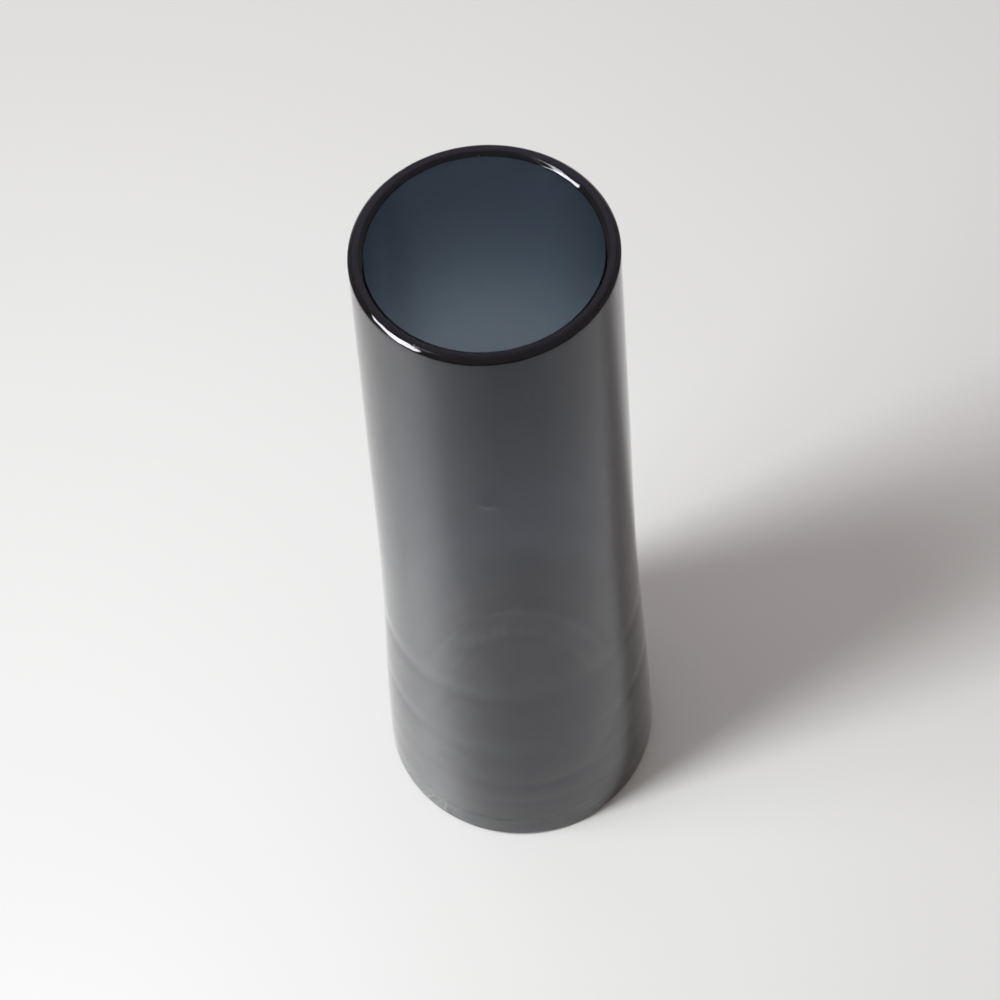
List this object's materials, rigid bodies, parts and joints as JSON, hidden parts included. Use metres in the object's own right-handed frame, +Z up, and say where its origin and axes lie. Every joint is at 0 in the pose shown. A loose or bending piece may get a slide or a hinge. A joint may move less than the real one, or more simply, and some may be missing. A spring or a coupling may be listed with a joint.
{
  "type": "glass vase",
  "caption": "Tall smoked-glass flower vase, round and slightly tapered, with a flared heavy foot and a ground flat lip with bevelled edges.",
  "frame": {"origin": "centre of the foot, on the surface the vase stands on", "axes": "+Z up along the axis of the vase, from the foot to the mouth; the vase is round, so X and Y are free"},
  "size_m": [0.0848, 0.0848, 0.25],
  "materials": {
    "smoked_glass": "polished"
  },
  "bodies": {
    "root": {"base": "smoked_glass", "wall": "smoked_glass", "rim": "smoked_glass"}
  },
  "joints": []
}
